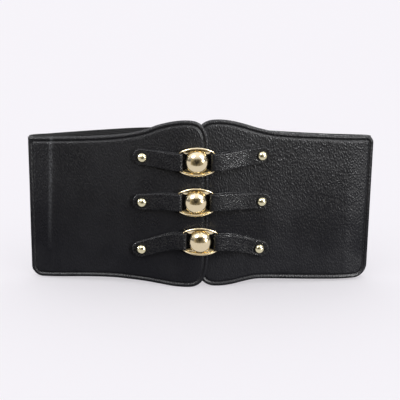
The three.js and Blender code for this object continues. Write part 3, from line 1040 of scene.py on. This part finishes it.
@dataclass
class ElasticBack:
    """The wide elastic band, lapped behind both panels and bent round the back."""

    height: float = 142
    lap: float = 22
    lap_inset: float = 5
    lap_gap: float = 0.55
    thick: float = 1.8
    selvedge: float = 3.2
    field_share: float = 0.82
    edge_share: float = 0.55
    held_run: float = 30
    swell_run: float = 40
    swell: float = 0.7
    swell_length: float = 55
    swell_turns: float = 2.2
    sections: int = 240
    ribs: int = 44
    stitch_rows: tuple[float, float] = (3, 9)
    thread_radius: float = 0.3
    thread_sunk: float = 0.12

    def lap_points(self, lap: Lap) -> list[Section]:
        """Follows the lap behind a panel's end.

        Args:
            lap: The lap.

        Returns:
            Its sections, from its free end to the fold.
        """
        points = []
        for i in range(4):
            distance = self.lap + (self.lap_inset - self.lap) * i / 3
            x = lap.panel.end - lap.panel.side.sign * distance
            place = lap.panel.at(x, 0, lap.panel.thick + self.lap_gap + self.thick / 2)
            points.append(Section(place.x, place.y, lap.low, lap.high))
        return points

    def samples(self) -> list[tuple[Vector, Vector, Vector, float]]:
        """Follows the band from the left lap round the back to the right lap.

        Returns:
            For each section its lower and upper point, outward direction and the length so far.
        """
        left, right = (self.lap_points(lap) for lap in LAPS)
        rows = [*left, *BACK_ROUTE, *right[::-1]]
        lower = [Vector((r.x, r.y, r.low)) for r in rows]
        upper = [Vector((r.x, r.y, r.high)) for r in rows]
        found = []
        walked = 0.0
        previous = lower[0]
        for i in range(self.sections + 1):
            t = i / self.sections
            foot, top = through_points(lower, t), through_points(upper, t)
            ahead = through_points(lower, min(t + 1e-4, 1)) - through_points(lower, max(t - 1e-4, 0))
            ahead.z = 0
            ahead.normalize()
            walked += (foot - previous).length
            previous = foot
            found.append((foot, top, Vector((-ahead.y, ahead.x, 0)), walked))
        return found

    def cell(self, vert: BMVert) -> tuple[int, float]:
        """A flat grid's vertex as its section's number and its share of the height."""
        return round((vert.co.x + 1) / 2 * self.sections), (vert.co.y + 1) / 2

    def build(self, wardrobe: Wardrobe) -> Object:
        """Makes the band from a flat grid that is bent, then gets its thickness and selvedges.

        Args:
            wardrobe: The materials.

        Returns:
            The band.
        """
        samples = self.samples()
        length = samples[-1][3]
        bm = bmesh.new()
        uv = bm.loops.layers.uv.new("band")
        bmesh.ops.create_grid(bm, x_segments=self.sections, y_segments=self.ribs, size=1)
        for face in bm.faces:
            for loop in face.loops:
                i, share = self.cell(loop.vert)
                foot, top, _, walked = samples[i]
                loop[uv].uv = (walked * MM, share * (top.z - foot.z) * MM)
        outer = list(bm.verts)
        inner, _ = second_layer(bm, bm.faces)
        for verts, face_side in ((outer, 1), (inner, -1)):
            for vert in verts:
                i, share = self.cell(vert)
                foot, top, out, walked = samples[i]
                border = min(share, 1 - share) * (top.z - foot.z)
                rim = math.exp(-(border / self.selvedge) ** 4)
                half = self.thick / 2 * (self.field_share + (1 - self.field_share) * rim)
                if border < 0.01:
                    half *= self.edge_share
                ends = (walked, length - walked)
                free = math.prod(ease((run - self.held_run) / self.swell_run) for run in ends)
                wave = noise.noise(Vector((walked / self.swell_length, share * self.swell_turns, 3.0)))
                swell = self.swell * wave * free * ease(border / self.held_run)
                middle = foot.lerp(top, share)
                middle.z = max(middle.z, 0)
                vert.co = to_frame(middle + out * (half * face_side + swell))
        return belt_piece(bm, "elastic_back_band", [wardrobe.elastic], "elastic_back", 50)

    def stitches(self, wardrobe: Wardrobe, pitch: float = 3.2, length: float = 2.3) -> Object:
        """Makes the upright rows of stitches that hold the laps, on the band's inner face.

        Args:
            wardrobe: The materials.
            pitch: The distance from one stitch to the next.
            length: A stitch's length.

        Returns:
            The thread.
        """
        bm = bmesh.new()
        for lap in LAPS:
            depth = lap.panel.thick + self.lap_gap + self.thick - self.thread_sunk
            for row in self.stitch_rows:
                x = lap.panel.end - lap.panel.side.sign * (self.lap - row)
                for i in range(int((lap.sewn_high - lap.sewn_low) / pitch)):
                    z = lap.sewn_low + pitch * i
                    ends = [to_frame(lap.panel.at(x, z + shift, depth)) for shift in (0, length)]
                    add_stitch(bm, *ends, self.thread_radius * MM)
        return belt_piece(bm, "elastic_lap_stitches", [wardrobe.thread])


@dataclass(frozen=True)
class ClaspPlace:
    """Where a clasp sits and where its two straps are riveted, in x and z, in mm and degrees."""

    level: Level
    x: float
    z: float
    tilt: float
    left_stud: tuple[float, float]
    right_stud: tuple[float, float]

    def stud(self, side: Side) -> tuple[float, float]:
        """The stud of one side's strap."""
        return self.left_stud if side is Side.LEFT else self.right_stud


CLASP_PLACES = (
    ClaspPlace(Level.TOP, -2.8, 128.5, 0, (-53.6, 131), (58.3, 132.5)),
    ClaspPlace(Level.MIDDLE, -3.8, 89, 0, (-54.6, 86.6), (58.6, 87.3)),
    ClaspPlace(Level.BOTTOM, 0.2, 49.4, 1.5, (-55.8, 38.9), (57.1, 39.4)),
)
CLASP_Y = -4.2
BAR_X = 16.2
BAR_RADIUS = 1.1

# Inner edge of the web beside a clasp's arm, as distance from the clasp's middle and height.
WEB_EDGE = (
    (0.0, 7.5), (10.2, 7.5), (10.8, 7.65), (11.4, 8.0), (12.0, 8.45), (12.7, 8.8), (14.6, 9.05),
)

# How far a post reaches into the head before it and into the cap behind it.
INTO_HEAD = 0.05
INTO_CAP = 0.1


@dataclass
class Clasp:
    """A cast frame of two crescent arms, side bars, webs and a round seat, with a dome on the seat."""

    place: ClaspPlace
    bar_half: float = 8.8
    arm_rise: float = 12.9
    tip_rise: float = 9.0
    tip_share: float = 0.16
    arm_half_thick: float = 1.4
    arm_half_depth: float = 1.7
    groove_depth: float = 0.36
    groove_place: float = -0.1
    groove_width: float = 0.24
    seat_radius: float = 10.2
    plate_front: float = 0.8
    plate_back: float = 1.9
    plate_bevel: float = 0.15
    dome_radius: float = 11.1
    dome_height: float = 7.6
    dome_rim: float = 0.5
    stem_radius: float = 2.0
    rivet_radius: float = 3.0
    rivet_thick: float = 0.6

    @property
    def matrix(self) -> Matrix:
        """Places a mesh made round the clasp's own centre, in mm, into the row frame, in metres."""
        centre = Vector((self.place.x, CLASP_Y, self.place.z))
        turn = Matrix.Rotation(math.radians(self.place.tilt), 4, "Y")
        return Matrix.Scale(MM, 4) @ Matrix.Translation(centre + ORIGIN) @ turn

    @property
    def arc_radius(self) -> float:
        """Radius of an arm's arc, which rises between its tips at the two bars."""
        rise = self.arm_rise - self.tip_rise
        return (BAR_X ** 2 + rise ** 2) / (2 * rise)

    def add_arm(self, bm: BMesh, up: int, steps: int = 44, sides: int = 20) -> None:
        """Adds one crescent arm: a grooved section spun along its arc and thinned to both tips.

        Args:
            bm: The mesh.
            up: 1 for the upper arm and -1 for the lower one.
            steps: Faces along the arm.
            sides: Faces round it.
        """
        radius = self.arc_radius
        spread = math.asin(BAR_X / radius)
        centre = Vector((0, 0, up * (self.arm_rise - radius)))
        made = bmesh.ops.create_circle(bm, segments=sides, radius=1)["verts"]
        for vert in made:
            # x is across the arm, y its depth; the front gets a groove between two lips.
            across, depth = vert.co.x, vert.co.y
            if depth < 0:
                off_groove = (across - self.groove_place) / self.groove_width
                depth += self.groove_depth * math.exp(-off_groove ** 2)
            vert.co = (0, depth * self.arm_half_depth, up * (radius + across * self.arm_half_thick))
        bmesh.ops.rotate(bm, verts=made, cent=Vector(), matrix=Matrix.Rotation(-up * spread, 3, "Y"))
        bmesh.ops.translate(bm, verts=made, vec=centre)
        edges = list({e for v in made for e in v.link_edges})
        before = set(bm.verts)
        bmesh.ops.spin(bm, geom=made + edges, cent=centre, axis=(0, up, 0), angle=2 * spread, steps=steps)
        for vert in made + [v for v in bm.verts if v not in before]:
            offset = vert.co - centre
            outward = Vector((offset.x, 0, offset.z))
            t = min(abs(math.atan2(offset.x, abs(offset.z))) / spread, 1)
            swell = self.tip_share + (1 - self.tip_share) * math.sqrt(1 - t ** 2)
            reach = radius + (outward.length - radius) * swell
            vert.co = centre + outward.normalized() * reach + Vector((0, offset.y * swell, 0))
        bmesh.ops.holes_fill(bm, edges=[e for e in bm.edges if e.is_boundary], sides=sides)

    def add_web(self, bm: BMesh, up: int, steps: int = 28) -> None:
        """Adds the flat web between the seat and one arm, with a bevelled rim.

        Args:
            bm: The mesh.
            up: 1 for the upper web and -1 for the lower one.
            steps: Points but one along each of its two long edges.
        """
        radius = self.arc_radius
        reach = WEB_EDGE[-1][0]
        spread = math.asin(reach / radius)
        points = []
        for i in range(steps + 1):
            x = reach * (2 * i / steps - 1)
            points.append((x, between(WEB_EDGE, abs(x))))
        for i in range(steps + 1):
            angle = spread * (1 - 2 * i / steps)
            points.append((radius * math.sin(angle), self.arm_rise - radius + radius * math.cos(angle)))
        face = bm.faces.new([bm.verts.new((x, self.plate_front, up * z)) for x, z in points])
        verts, _ = second_layer(bm, [face])
        bmesh.ops.translate(bm, verts=verts, vec=(0, self.plate_back - self.plate_front, 0))
        round_edges(bm, list(face.edges), self.plate_bevel)

    def build_frame(self, wardrobe: Wardrobe) -> Object:
        """Makes the frame, whose seat and webs lie behind the dome.

        Args:
            wardrobe: The materials.

        Returns:
            The frame.
        """
        bm = bmesh.new()
        for add in (self.add_arm, self.add_web):
            for up in (-1, 1):
                add(bm, up)
        add_post(bm, self.seat_radius, self.plate_front, self.plate_back, 64)
        for side in Side:
            upright = Matrix.Translation((side.sign * BAR_X, 0, 0))
            bmesh.ops.create_cone(bm, cap_ends=True, segments=24, radius1=BAR_RADIUS, radius2=BAR_RADIUS,
                                  depth=2 * self.bar_half, matrix=upright)
        bmesh.ops.transform(bm, matrix=self.matrix, verts=bm.verts)
        name = f"clasp_frame_{self.place.level.value}"
        return belt_piece(bm, f"{name}_cast", [wardrobe.clasp], name, 35)

    def build_dome(self, wardrobe: Wardrobe) -> Object:
        """Makes the dome with a short straight rim, its stem and the rivet head behind the seat.

        Args:
            wardrobe: The materials.

        Returns:
            The dome.
        """
        bm = bmesh.new()
        base = self.plate_front - GAP
        rivet = self.plate_back + GAP
        add_head(bm, self.dome_radius, self.dome_height, base - self.dome_rim, 80, 40)
        add_post(bm, self.dome_radius - 0.1, base - self.dome_rim - INTO_HEAD, base, 80)
        add_post(bm, self.stem_radius, base - INTO_HEAD, rivet + INTO_CAP, 32)
        add_post(bm, self.rivet_radius, rivet, rivet + self.rivet_thick, 32)
        bmesh.ops.transform(bm, matrix=self.matrix, verts=bm.verts)
        name = f"clasp_dome_{self.place.level.value}"
        return belt_piece(bm, f"{name}_polished", [wardrobe.clasp], name, 35)


@dataclass
class Stud:
    """A round-headed rivet through both layers of a strap and its panel."""

    side: Side
    level: Level
    x: float
    z: float
    radius: float = 4.6
    height: float = 3.4
    post_radius: float = 1.3
    strap_thick: float = 1.7
    cap_radius: float = 3.6
    cap_thick: float = 0.9

    def build(self, wardrobe: Wardrobe) -> Object:
        """Makes the rivet along its panel's own normal.

        Args:
            wardrobe: The materials.

        Returns:
            The rivet.
        """
        panel = PANELS[self.side]
        bm = bmesh.new()
        base = -(2 * self.strap_thick + 3 * GAP)
        back = panel.thick + GAP
        add_head(bm, self.radius, self.height, base, 40, 24)
        add_post(bm, self.post_radius, base - INTO_HEAD, back + INTO_CAP, 20)
        add_post(bm, self.cap_radius, back, back + self.cap_thick, 36)
        inward = panel.inward(self.x)
        turn = Matrix.Rotation(math.atan2(-inward.x, inward.y), 4, "Z")
        place = Matrix.Translation(panel.at(self.x, self.z) + ORIGIN)
        bmesh.ops.transform(bm, matrix=Matrix.Scale(MM, 4) @ place @ turn, verts=bm.verts)
        name = f"stud_{self.side.value}_{self.level.value}"
        return belt_piece(bm, f"{name}_rivet", [wardrobe.stud], name, 35)


@dataclass
class FoldedStrap:
    """A leather strap folded round a clasp's bar, its two layers riveted to a panel."""

    side: Side
    place: ClaspPlace
    thick: float = 1.7
    end_width: float = 15.4
    wrap_width: float = 16.8
    wrap_half_run: float = 4.0
    past_stud: float = 9.5
    wrap_gap: float = 0.4
    bevel: float = 0.5
    rise_run: float = 16.0
    square_run: float = 3.0
    bend_run: float = 11.0
    dent_depth: float = 0.55
    dent_radius: float = 4.2
    dent_width: float = 1.8
    crumple: float = 0.12
    crumple_size: float = 6.0
    fold_steps: int = 24
    end_steps: int = 18
    cuts_along: int = 110
    cuts_across: Sequence[float] = (-6.5, -4.5, -2.2, 0, 2.2, 4.5, 6.5)

    @property
    def panel(self) -> FrontPanel:
        """The panel that the strap is riveted to."""
        return PANELS[self.side]

    @property
    def tilt(self) -> float:
        """The clasp's tilt in radians."""
        return math.radians(self.place.tilt)

    @property
    def bar(self) -> Vector:
        """The centre of the clasp's bar."""
        return self.from_bar(Vector((self.place.x, CLASP_Y, self.place.z)), BAR_X, 0)

    def from_bar(self, start: Vector, along: float, across: float) -> Vector:
        """Moves a point in the clasp's own plane.

        Args:
            start: The point.
            along: How far it moves away from the clasp's middle, along the clasp.
            across: How far it moves up, square to that.

        Returns:
            The moved point.
        """
        cos, sin = math.cos(self.tilt), math.sin(self.tilt)
        outward = self.side.sign * along
        return start + Vector((outward * cos + across * sin, 0, across * cos - outward * sin))

    def stud_local(self) -> tuple[float, float]:
        """Finds the stud as seen from the bar.

        Returns:
            Its distance from the bar along and across the clasp's own direction.
        """
        x, z = self.place.stud(self.side)
        dx, dz = x - self.bar.x, z - self.bar.z
        along = (dx * math.cos(self.tilt) - dz * math.sin(self.tilt)) * self.side.sign
        return along, dx * math.sin(self.tilt) + dz * math.cos(self.tilt)

    def middle_line(self) -> list[Vector]:
        """Draws the fold as seen from the strap's edge.

        Returns:
            Points of distance from the bar and height over the panel, from the lower layer's end
            round the bar to the upper layer's end.
        """
        reach, _ = self.stud_local()
        length = reach + self.past_stud
        fall_run = reach - self.past_stud
        bar_height = self.panel.y(self.bar.x) - CLASP_Y
        turn = BAR_RADIUS + self.wrap_gap + self.thick / 2
        under = GAP + self.thick / 2
        upper = under + self.thick + GAP
        below, above = bar_height - turn, bar_height + turn
        shares = [i / self.fold_steps for i in range(self.fold_steps)]
        points = [(length + (self.rise_run - length) * t, under) for t in shares]
        points += [(self.rise_run * (1 - t), under + (below - under) * ease(t)) for t in shares]
        points += [(-turn * math.sin(math.pi * t), bar_height - turn * math.cos(math.pi * t)) for t in shares]
        points += [(fall_run * t, above + (upper - above) * ease(t)) for t in shares]
        points += [(fall_run + (length - fall_run) * t, upper) for t in (*shares, 1)]
        return [Vector(point) for point in points]

    def flat_blank(self, length: float) -> BMesh:
        """Cuts the strap lying flat: x along it, y its thickness and z across, with both ends round.

        Args:
            length: The strap's whole length.

        Returns:
            The strap's mesh.
        """
        radius = self.end_width / 2
        steps = self.end_steps
        angles = [math.pi / 2 * i / steps for i in range(steps + 1)]
        half = [(radius * (1 - math.cos(angle)), radius * math.sin(angle)) for angle in angles]
        half += [(length / 2 + sign * self.wrap_half_run, self.wrap_width / 2) for sign in (-1, 1)]
        half += [(length - x, z) for x, z in half[steps::-1]]
        outline = half + [(x, -z) for x, z in half[-2:0:-1]]
        bm = bmesh.new()
        face = bm.faces.new([bm.verts.new((x, -self.thick / 2, z)) for x, z in outline])
        verts, _ = second_layer(bm, [face])
        bmesh.ops.translate(bm, verts=verts, vec=(0, self.thick, 0))
        rims = [e for e in bm.edges
                if e.calc_face_angle(0) > 1 and abs(e.verts[0].co.y - e.verts[1].co.y) < 0.1]
        round_edges(bm, rims, self.bevel, 3)
        count = self.cuts_along
        cuts = [(Vector((length * i / count, 0, 0)), Vector((1, 0, 0))) for i in range(1, count)]
        cuts += [(Vector((0, 0, z)), Vector((0, 0, 1))) for z in self.cuts_across]
        for place, normal in cuts:
            geom = [*bm.verts, *bm.edges, *bm.faces]
            bmesh.ops.bisect_plane(bm, geom=geom, dist=1e-4, plane_co=place, plane_no=normal)
        return bm

    def folded(self, line: Sequence[Vector], walked: Sequence[float], s: float, lift: float) -> Vector:
        """Finds where a point of the flat strap comes to lie in the fold.

        Args:
            line: The fold's middle line.
            walked: The length along it up to each of its points.
            s: How far along the strap the point lies.
            lift: How far it lies from the middle line.

        Returns:
            Its distance from the bar and its height over the panel.
        """
        i = min(max(bisect_left(walked, s) - 1, 0), len(line) - 2)
        t = (s - walked[i]) / (walked[i + 1] - walked[i])
        before = (line[i + 1] - line[max(i - 1, 0)]).normalized()
        after = (line[min(i + 2, len(line) - 1)] - line[i]).normalized()
        along = before.lerp(after, t).normalized()
        return line[i].lerp(line[i + 1], t) + Vector((-along.y, along.x)) * lift

    def steered(self, run: float, across: float, stud: tuple[float, float]) -> tuple[float, float]:
        """Bends the strap sideways towards its stud, after a stretch that is square to the bar.

        Args:
            run: A point's distance from the bar.
            across: Its distance from the strap's middle.
            stud: The stud's distance from the bar along and across the clasp's own direction.

        Returns:
            The point's distance from the bar along and across that direction.
        """
        slope = stud[1] / (stud[0] - self.square_run - self.bend_run / 2)
        past = max(run - self.square_run, 0)
        bent = min(past / self.bend_run, 1)
        drift = slope * (bent * bent * self.bend_run / 2 + max(past - self.bend_run, 0))
        angle = math.atan(slope * bent)
        return run - across * math.sin(angle), drift + across * math.cos(angle)

    def build(self, wardrobe: Wardrobe) -> Object:
        """Makes the strap: the blank is folded round the bar and bent towards its stud.

        Args:
            wardrobe: The materials.

        Returns:
            The strap.
        """
        line = self.middle_line()
        walked = [0.0]
        for a, b in zip(line, line[1:]):
            walked.append(walked[-1] + (b - a).length)
        length = walked[-1]
        stud = self.stud_local()
        bar = self.bar
        bm = self.flat_blank(length)
        for vert in bm.verts:
            s = min(max(vert.co.x, 0), length)
            spot = self.folded(line, walked, s, -vert.co.y)
            u, w = self.steered(spot.x, vert.co.z, stud)
            height = spot.y
            if s > length / 2:
                wave = noise.noise(Vector((u / self.crumple_size, w / self.crumple_size, self.place.z)))
                from_dent = math.dist((u, w), stud) - self.dent_radius
                height += self.crumple * wave
                height -= self.dent_depth * math.exp(-(from_dent / self.dent_width) ** 2)
            place = self.from_bar(bar, u, w)
            place.y = self.panel.y(place.x) - height
            vert.co = to_frame(place)
        name = f"strap_{self.side.value}_{self.place.level.value}"
        piece = belt_piece(bm, f"{name}_leather", [wardrobe.strap_leather], name)
        return piece


@dataclass(frozen=True)
class Lamp:
    """A soft lamp: its name, azimuth and elevation in degrees, strength, and width in degrees."""

    name: str
    azimuth: float
    elevation: float
    strength: float
    width: float


@dataclass
class Studio:
    """The floor, the lamps and the camera."""

    aim_z: float = 90.0
    elevation: float = 18.0
    distance: float = 900.0
    lens: float = 85.3
    floor_width: float = 60.0
    paper: str = "#bbbabc"
    paper_glow: str = "#fbf8fc"
    paper_strength: float = 0.49
    mirrored_paper: float = 0.78
    underlay: str = "#6d6c6f"
    # Glow of the card that metal mirrors as the dark room: dark in its middle, paler at its edges.
    room_colour: str = "#1f1b14"
    room_edge_colour: str = "#b5aa94"
    room_width: float = 0.5
    room_height: float = 0.23
    room_middle: float = 0.45
    room_y: float = -0.28
    room_shapes: float = 14.0
    room_unevenness: float = 1.8
    room_fade: tuple[float, float] = (1.05, 1.95)
    surround: str = "#f3f2f6"
    low_light: float = 0.12
    top_light: float = 1.3
    light_rise: tuple[float, float] = (0.05, 0.85)
    metal_only: Optional[Collection] = None
    lamps: Sequence[Lamp] = (
        Lamp("right_softbox", 50, 38, 2.1, 26),
        Lamp("left_softbox", -38, 42, 1.1, 26),
        Lamp("low_right_lamp", 46, 7, 2.5, 7),
        Lamp("low_left_lamp", -98, 16, 3.2, 8),
        Lamp("back_lamp", 160, 35, 1.6, 30),
    )

    def plane(self, name: str, matrix: Matrix, material: Material, seen_by: Sequence[str]) -> Object:
        """Adds a flat stage piece.

        Args:
            name: The object's name.
            matrix: Turns the unit square that lies in x and y into the piece.
            material: Its material.
            seen_by: The kinds of rays that meet it: camera, glossy, diffuse or shadow.

        Returns:
            The piece.
        """
        bm = bmesh.new()
        bmesh.ops.create_grid(bm, x_segments=1, y_segments=1, size=0.5, matrix=matrix)
        piece = piece_from(bm, name, [material])
        for kind in ("camera", "glossy", "diffuse", "shadow"):
            setattr(piece, f"visible_{kind}", kind in seen_by)
        return piece

    def floor(self) -> tuple[Object, Object]:
        """Lays three floors, each for its own rays.

        The camera sees a pale paper that glows, as if lit far more strongly than the belt. Metal
        mirrors a second paper. A dull underlay bounces light and lets none through from below.

        Returns:
            The paper that the camera sees and the one that metal mirrors.
        """

        def lit_paper(tree: NodeTree) -> Node:
            """The paper's own colour and its glow together."""
            colour = add_node(tree, "BsdfDiffuse", {"Color": linear(self.paper)})
            return add_node(tree, "AddShader", {0: colour, 1: glow(tree, self.paper_strength)})

        def glow(tree: NodeTree, strength: float) -> Node:
            """The paper's glow at one strength."""
            return add_node(tree, "Emission", {"Color": linear(self.paper_glow), "Strength": strength})

        def dull(tree: NodeTree) -> Node:
            """The underlay's grey."""
            return add_node(tree, "BsdfDiffuse", {"Color": linear(self.underlay)})

        size = Matrix.Diagonal((self.floor_width, self.floor_width, 1, 1))
        layers = (
            ("paper_floor", "matt_white_paper_sweep", lit_paper, ("camera",)),
            ("mirrored_floor", "mirrored_white_paper", lambda tree: glow(tree, self.mirrored_paper),
             ("glossy",)),
            ("underlay_floor", "dull_grey_underlay", dull, ("diffuse", "shadow")),
        )
        paper, mirrored, _ = (
            self.plane(name, Matrix.Translation((0, 0, -i * MM)) @ size, new_material(finish, surface), rays)
            for i, (name, finish, surface, rays) in enumerate(layers))
        return paper, mirrored

    def dim_card(self, tree: NodeTree) -> Node:
        """Adds the nodes of a card that glows dark in its middle and fades unevenly outwards to a paler glow.

        Args:
            tree: The material's node tree.

        Returns:
            The shader.
        """
        spot = add_node(tree, "TexCoord").outputs["Object"]
        centred = add_node(tree, "Mapping", {
            "Location": (0, 0, -self.room_middle), "Scale": (2 / self.room_width, 1, 1 / self.room_height),
            "Vector": spot})
        parts = add_node(tree, "SeparateXYZ", {0: centred})
        flat = add_node(tree, "CombineXYZ", {"X": parts.outputs["X"], "Z": parts.outputs["Z"]})
        away = add_node(tree, "VectorMath", {"operation": "LENGTH", 0: flat})
        shapes = add_node(tree, "TexNoise", {
            "Scale": self.room_shapes, "Detail": 3, "Roughness": 0.6, "Vector": spot})
        uneven = add_node(tree, "Math", {
            "operation": "MULTIPLY_ADD", 0: shapes, 1: self.room_unevenness, 2: away.outputs["Value"]})
        inside, outside = self.room_fade
        spread = add_node(tree, "MapRange", {"From Min": inside, "From Max": outside, "Value": uneven})
        tone = add_node(tree, "Mix", {
            "data_type": "RGBA", 0: spread, 6: linear(self.room_colour), 7: linear(self.room_edge_colour)})
        return add_node(tree, "Emission", {"Strength": 1.0, "Color": tone.outputs[2]})

    def dark_room(self) -> None:
        """Hangs a dimly glowing card before the belt that only mirrors see: a painted reflection of the unlit
        room beyond the paper.
        """
        size = Matrix.Diagonal((self.room_width, self.room_height, 1, 1))
        place = Matrix.Translation((0, self.room_y, self.room_height / 2))
        self.plane("dark_room_card", place @ Matrix.Rotation(math.pi / 2, 4, "X") @ size,
                   new_material("glowing_room_reflection_card", self.dim_card), ("glossy",))

    def light(self, paper: Object) -> None:
        """Adds a surround that brightens overhead, and soft lamps that are shaded from the paper.

        Args:
            paper: The floor that only the surround lights.
        """
        world = bpy.data.worlds.new("studio_surround")
        bpy.context.scene.world = world
        world.use_nodes = True
        tree = world.node_tree
        tree.nodes.clear()
        parts = add_node(tree, "SeparateXYZ", {0: add_node(tree, "TexCoord").outputs["Generated"]})
        low, high = self.light_rise
        rise = add_node(tree, "MapRange", {
            "interpolation_type": "SMOOTHSTEP", "From Min": low, "From Max": high, "To Min": self.low_light,
            "To Max": self.top_light, "Value": parts.outputs["Z"]})
        sky = add_node(tree, "Background", {"Color": linear(self.surround), "Strength": rise})
        add_node(tree, "OutputWorld", {"Surface": sky})
        unlit = bpy.data.collections.new("paper_without_lamps")
        unlit.objects.link(paper)
        unlit.collection_objects[0].light_linking.link_state = "EXCLUDE"
        for lamp in self.lamps:
            data = bpy.data.lights.new(lamp.name, "SUN")
            data.energy = lamp.strength
            data.angle = math.radians(lamp.width)
            holder = bpy.data.objects.new(lamp.name, data)
            a, e = math.radians(lamp.azimuth), math.radians(lamp.elevation)
            towards = Vector((math.sin(a) * math.cos(e), -math.cos(a) * math.cos(e), math.sin(e)))
            holder.rotation_mode = "QUATERNION"
            holder.rotation_quaternion = towards.to_track_quat("Z", "Y")
            holder.light_linking.receiver_collection = unlit
            bpy.context.scene.collection.objects.link(holder)

    def camera(self) -> None:
        """Adds a long-lens camera in front of the belt, a little above it."""
        data = bpy.data.cameras.new("front_camera")
        data.sensor_width = 36
        data.lens = self.lens
        data.clip_start = 0.05
        data.clip_end = 100
        camera = bpy.data.objects.new("front_camera", data)
        e = math.radians(self.elevation)
        back = Vector((0, -math.cos(e), math.sin(e)))
        camera.location = to_frame(Vector((0, 0, self.aim_z)) + back * self.distance)
        camera.rotation_mode = "QUATERNION"
        camera.rotation_quaternion = back.to_track_quat("Z", "Y")
        bpy.context.scene.collection.objects.link(camera)
        bpy.context.scene.camera = camera

    def mirror_in(self, pieces: Sequence[Object]) -> None:
        """Lets metal pieces mirror the bright paper, which is flagged off the leather."""
        for piece in pieces:
            self.metal_only.objects.link(piece)

    def build(self) -> None:
        """Sets up the whole studio."""
        bpy.context.scene.view_settings.view_transform = "Standard"
        paper, mirrored = self.floor()
        self.metal_only = bpy.data.collections.new("metal_that_mirrors_the_paper")
        mirrored.light_linking.receiver_collection = self.metal_only
        self.dark_room()
        self.light(paper)
        self.camera()


def main() -> None:
    """Builds the studio and the belt piece by piece."""
    logging.basicConfig(level=logging.INFO, format="%(name)s: %(message)s")
    wardrobe = Wardrobe.made()
    studio = Studio()
    studio.build()
    elastic = ElasticBack()
    band = elastic.build(wardrobe)
    band_thread = elastic.stitches(wardrobe)
    elastic.samples()[-1][3] * MM
    for panel in PANELS.values():
        panel.declare(panel.build(wardrobe), panel.stitches(wardrobe))
    for place in CLASP_PLACES:
        clasp = Clasp(place)
        studio.mirror_in([clasp.build_frame(wardrobe), clasp.build_dome(wardrobe)])
        for side in Side:
            FoldedStrap(side, place).build(wardrobe)
            studio.mirror_in([Stud(side, place.level, *place.stud(side)).build(wardrobe)])


if __name__ == "__main__":
    main()
